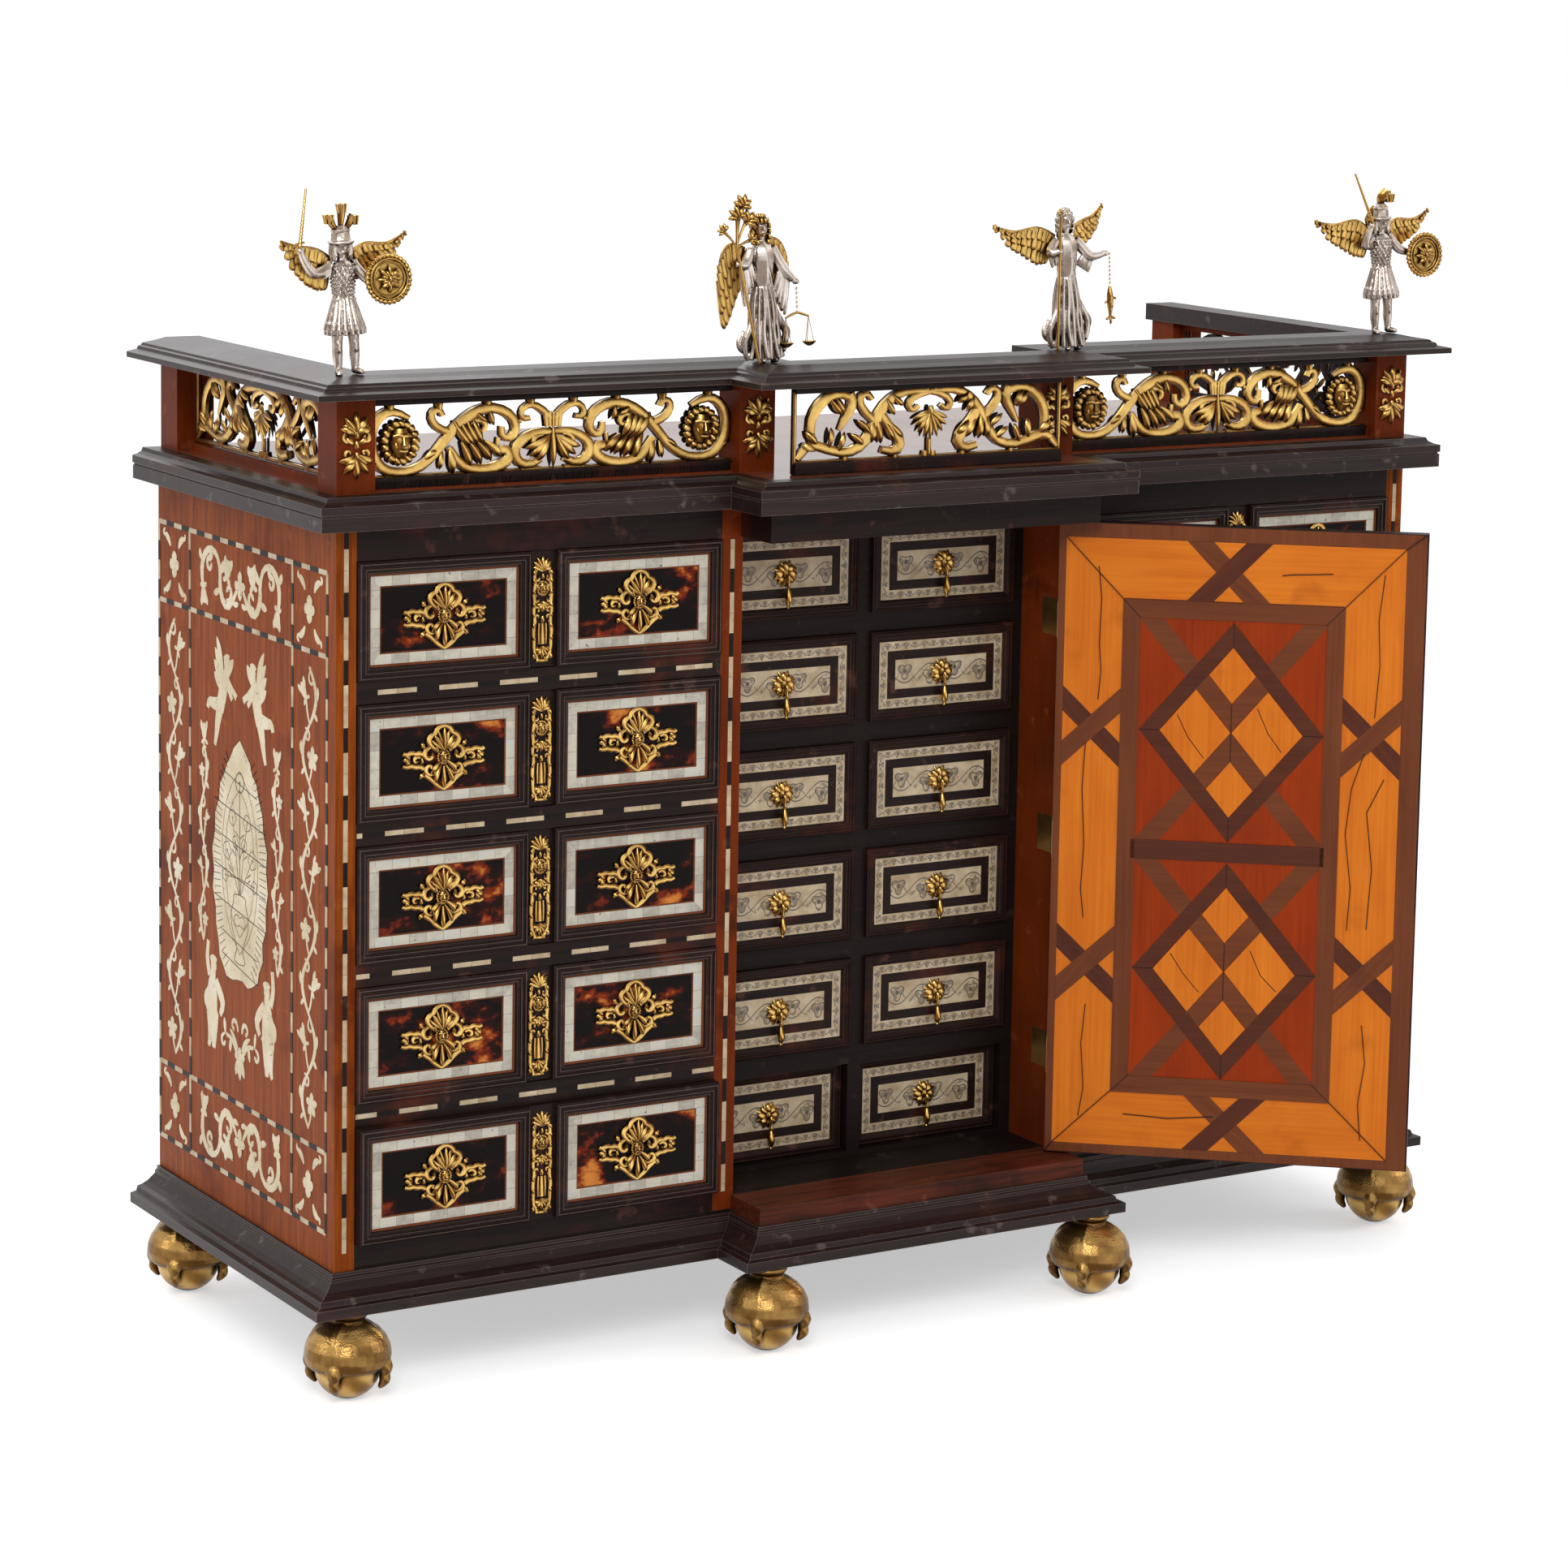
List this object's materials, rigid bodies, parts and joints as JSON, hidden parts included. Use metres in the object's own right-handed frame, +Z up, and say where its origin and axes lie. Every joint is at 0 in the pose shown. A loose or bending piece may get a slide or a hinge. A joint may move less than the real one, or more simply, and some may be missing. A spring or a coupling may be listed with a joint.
{
  "type": "collector cabinet",
  "caption": "Breakfront Baroque table cabinet on ball-and-claw feet with inlaid drawers, an open centre door, a pierced gilt gallery and winged figure finials.",
  "frame": {"origin": "on the ground under the middle of the object's bounding box, open door included", "axes": "+X along the front to the viewer's right, +Y to the back, +Z up"},
  "size_m": [1.166, 0.5826, 0.9877],
  "materials": {
    "dark_wood": "worn ebonised moulding",
    "inlaid_wood": "polished red-brown wood with bone inlay",
    "plain_wood": "plain darkened wood",
    "ebonised_wood": "polished ebonised wood",
    "satinwood": "polished parquetry",
    "gilt_bronze": "fire gilt, worn",
    "brass": "cast, polished",
    "silver": "cast silver"
  },
  "bodies": {
    "cabinet": {"left_side_panel": "inlaid_wood", "right_side_panel": "inlaid_wood", "back_panel": "plain_wood", "carcass_bottom": "plain_wood", "carcass_top": "dark_wood", "left_partition": "inlaid_wood", "right_partition": "inlaid_wood", "sill_block": "dark_wood", "frieze_block": "dark_wood", "jamb_hinges": "brass", "bay_boards": "inlaid_wood", "drawer_nest": "ebonised_wood", "base_moulding": "dark_wood", "cornice_moulding": "dark_wood", "handrail": "dark_wood", "gallery_frame": "dark_wood", "gallery_frets": "gilt_bronze", "post_mounts": "gilt_bronze", "ball_feet": "brass", "foot_claws": "brass", "warrior_finials": "silver", "robed_finials": "silver", "finial_wings_and_shields": "gilt_bronze"},
    "door": {"door_panel": "satinwood", "door_front_dressing": "ebonised_wood", "door_hinge_leaves": "brass"},
    "left_drawer_1": {"left_drawer_1": "ebonised_wood"},
    "left_drawer_2": {"left_drawer_2": "ebonised_wood"},
    "left_drawer_3": {"left_drawer_3": "ebonised_wood"},
    "left_drawer_4": {"left_drawer_4": "ebonised_wood"},
    "left_drawer_5": {"left_drawer_5": "ebonised_wood"},
    "right_drawer_1": {"right_drawer_1": "ebonised_wood"},
    "right_drawer_2": {"right_drawer_2": "ebonised_wood"},
    "right_drawer_3": {"right_drawer_3": "ebonised_wood"},
    "right_drawer_4": {"right_drawer_4": "ebonised_wood"},
    "right_drawer_5": {"right_drawer_5": "ebonised_wood"},
    "small_drawer_left_1": {"small_drawer_left_1": "ebonised_wood"},
    "pull_left_1": {"pull_left_1": "gilt_bronze"},
    "small_drawer_left_2": {"small_drawer_left_2": "ebonised_wood"},
    "pull_left_2": {"pull_left_2": "gilt_bronze"},
    "small_drawer_left_3": {"small_drawer_left_3": "ebonised_wood"},
    "pull_left_3": {"pull_left_3": "gilt_bronze"},
    "small_drawer_left_4": {"small_drawer_left_4": "ebonised_wood"},
    "pull_left_4": {"pull_left_4": "gilt_bronze"},
    "small_drawer_left_5": {"small_drawer_left_5": "ebonised_wood"},
    "pull_left_5": {"pull_left_5": "gilt_bronze"},
    "small_drawer_left_6": {"small_drawer_left_6": "ebonised_wood"},
    "pull_left_6": {"pull_left_6": "gilt_bronze"},
    "small_drawer_right_1": {"small_drawer_right_1": "ebonised_wood"},
    "pull_right_1": {"pull_right_1": "gilt_bronze"},
    "small_drawer_right_2": {"small_drawer_right_2": "ebonised_wood"},
    "pull_right_2": {"pull_right_2": "gilt_bronze"},
    "small_drawer_right_3": {"small_drawer_right_3": "ebonised_wood"},
    "pull_right_3": {"pull_right_3": "gilt_bronze"},
    "small_drawer_right_4": {"small_drawer_right_4": "ebonised_wood"},
    "pull_right_4": {"pull_right_4": "gilt_bronze"},
    "small_drawer_right_5": {"small_drawer_right_5": "ebonised_wood"},
    "pull_right_5": {"pull_right_5": "gilt_bronze"},
    "small_drawer_right_6": {"small_drawer_right_6": "ebonised_wood"},
    "pull_right_6": {"pull_right_6": "gilt_bronze"}
  },
  "joints": [
    {"name": "door_hinge", "type": "hinge", "parent": "cabinet", "child": "door", "pos_m": [0.1577, -0.07223, 0.40275], "axis": [0, 0, 1], "range_deg": [-140, 0]},
    {"name": "left_drawer_1_slide", "type": "slide", "parent": "cabinet", "child": "left_drawer_1", "axis": [0, -1, 0], "range_m": [0, 0.28]},
    {"name": "left_drawer_2_slide", "type": "slide", "parent": "cabinet", "child": "left_drawer_2", "axis": [0, -1, 0], "range_m": [0, 0.28]},
    {"name": "left_drawer_3_slide", "type": "slide", "parent": "cabinet", "child": "left_drawer_3", "axis": [0, -1, 0], "range_m": [0, 0.28]},
    {"name": "left_drawer_4_slide", "type": "slide", "parent": "cabinet", "child": "left_drawer_4", "axis": [0, -1, 0], "range_m": [0, 0.28]},
    {"name": "left_drawer_5_slide", "type": "slide", "parent": "cabinet", "child": "left_drawer_5", "axis": [0, -1, 0], "range_m": [-0.008, 0.272]},
    {"name": "right_drawer_1_slide", "type": "slide", "parent": "cabinet", "child": "right_drawer_1", "axis": [0, -1, 0], "range_m": [0, 0.018]},
    {"name": "right_drawer_2_slide", "type": "slide", "parent": "cabinet", "child": "right_drawer_2", "axis": [0, -1, 0], "range_m": [0, 0.018]},
    {"name": "right_drawer_3_slide", "type": "slide", "parent": "cabinet", "child": "right_drawer_3", "axis": [0, -1, 0], "range_m": [0, 0.018]},
    {"name": "right_drawer_4_slide", "type": "slide", "parent": "cabinet", "child": "right_drawer_4", "axis": [0, -1, 0], "range_m": [0, 0.018]},
    {"name": "right_drawer_5_slide", "type": "slide", "parent": "cabinet", "child": "right_drawer_5", "axis": [0, -1, 0], "range_m": [0, 0.018]},
    {"name": "small_drawer_left_1_slide", "type": "slide", "parent": "cabinet", "child": "small_drawer_left_1", "axis": [0, -1, 0], "range_m": [0, 0.25]},
    {"name": "pull_left_1_swing", "type": "hinge", "parent": "small_drawer_left_1", "child": "pull_left_1", "pos_m": [-0.08949, -0.02123, 0.6441], "axis": [-1, 0, 0], "range_deg": [0, 60]},
    {"name": "small_drawer_left_2_slide", "type": "slide", "parent": "cabinet", "child": "small_drawer_left_2", "axis": [0, -1, 0], "range_m": [0, 0.25]},
    {"name": "pull_left_2_swing", "type": "hinge", "parent": "small_drawer_left_2", "child": "pull_left_2", "pos_m": [-0.08949, -0.02123, 0.5476], "axis": [-1, 0, 0], "range_deg": [0, 60]},
    {"name": "small_drawer_left_3_slide", "type": "slide", "parent": "cabinet", "child": "small_drawer_left_3", "axis": [0, -1, 0], "range_m": [0, 0.25]},
    {"name": "pull_left_3_swing", "type": "hinge", "parent": "small_drawer_left_3", "child": "pull_left_3", "pos_m": [-0.08949, -0.02123, 0.4511], "axis": [-1, 0, 0], "range_deg": [0, 60]},
    {"name": "small_drawer_left_4_slide", "type": "slide", "parent": "cabinet", "child": "small_drawer_left_4", "axis": [0, -1, 0], "range_m": [0, 0.25]},
    {"name": "pull_left_4_swing", "type": "hinge", "parent": "small_drawer_left_4", "child": "pull_left_4", "pos_m": [-0.08949, -0.02123, 0.3546], "axis": [-1, 0, 0], "range_deg": [0, 60]},
    {"name": "small_drawer_left_5_slide", "type": "slide", "parent": "cabinet", "child": "small_drawer_left_5", "axis": [0, -1, 0], "range_m": [0, 0.25]},
    {"name": "pull_left_5_swing", "type": "hinge", "parent": "small_drawer_left_5", "child": "pull_left_5", "pos_m": [-0.08949, -0.02123, 0.2581], "axis": [-1, 0, 0], "range_deg": [0, 60]},
    {"name": "small_drawer_left_6_slide", "type": "slide", "parent": "cabinet", "child": "small_drawer_left_6", "axis": [0, -1, 0], "range_m": [0, 0.25]},
    {"name": "pull_left_6_swing", "type": "hinge", "parent": "small_drawer_left_6", "child": "pull_left_6", "pos_m": [-0.08949, -0.00723, 0.1616], "axis": [-1, 0, 0], "range_deg": [0, 60]},
    {"name": "small_drawer_right_1_slide", "type": "slide", "parent": "cabinet", "child": "small_drawer_right_1", "axis": [0, -1, 0], "range_m": [0, 0.25]},
    {"name": "pull_right_1_swing", "type": "hinge", "parent": "small_drawer_right_1", "child": "pull_right_1", "pos_m": [0.07252, -0.02123, 0.6441], "axis": [-1, 0, 0], "range_deg": [0, 60]},
    {"name": "small_drawer_right_2_slide", "type": "slide", "parent": "cabinet", "child": "small_drawer_right_2", "axis": [0, -1, 0], "range_m": [0, 0.25]},
    {"name": "pull_right_2_swing", "type": "hinge", "parent": "small_drawer_right_2", "child": "pull_right_2", "pos_m": [0.07252, -0.02123, 0.5476], "axis": [-1, 0, 0], "range_deg": [0, 60]},
    {"name": "small_drawer_right_3_slide", "type": "slide", "parent": "cabinet", "child": "small_drawer_right_3", "axis": [0, -1, 0], "range_m": [0, 0.25]},
    {"name": "pull_right_3_swing", "type": "hinge", "parent": "small_drawer_right_3", "child": "pull_right_3", "pos_m": [0.07252, -0.02123, 0.4511], "axis": [-1, 0, 0], "range_deg": [0, 60]},
    {"name": "small_drawer_right_4_slide", "type": "slide", "parent": "cabinet", "child": "small_drawer_right_4", "axis": [0, -1, 0], "range_m": [0, 0.25]},
    {"name": "pull_right_4_swing", "type": "hinge", "parent": "small_drawer_right_4", "child": "pull_right_4", "pos_m": [0.07252, -0.02123, 0.3546], "axis": [-1, 0, 0], "range_deg": [0, 60]},
    {"name": "small_drawer_right_5_slide", "type": "slide", "parent": "cabinet", "child": "small_drawer_right_5", "axis": [0, -1, 0], "range_m": [0, 0.25]},
    {"name": "pull_right_5_swing", "type": "hinge", "parent": "small_drawer_right_5", "child": "pull_right_5", "pos_m": [0.07252, -0.02123, 0.2581], "axis": [-1, 0, 0], "range_deg": [0, 60]},
    {"name": "small_drawer_right_6_slide", "type": "slide", "parent": "cabinet", "child": "small_drawer_right_6", "axis": [0, -1, 0], "range_m": [0, 0.25]},
    {"name": "pull_right_6_swing", "type": "hinge", "parent": "small_drawer_right_6", "child": "pull_right_6", "pos_m": [0.07252, -0.00723, 0.1616], "axis": [-1, 0, 0], "range_deg": [0, 60]}
  ]
}
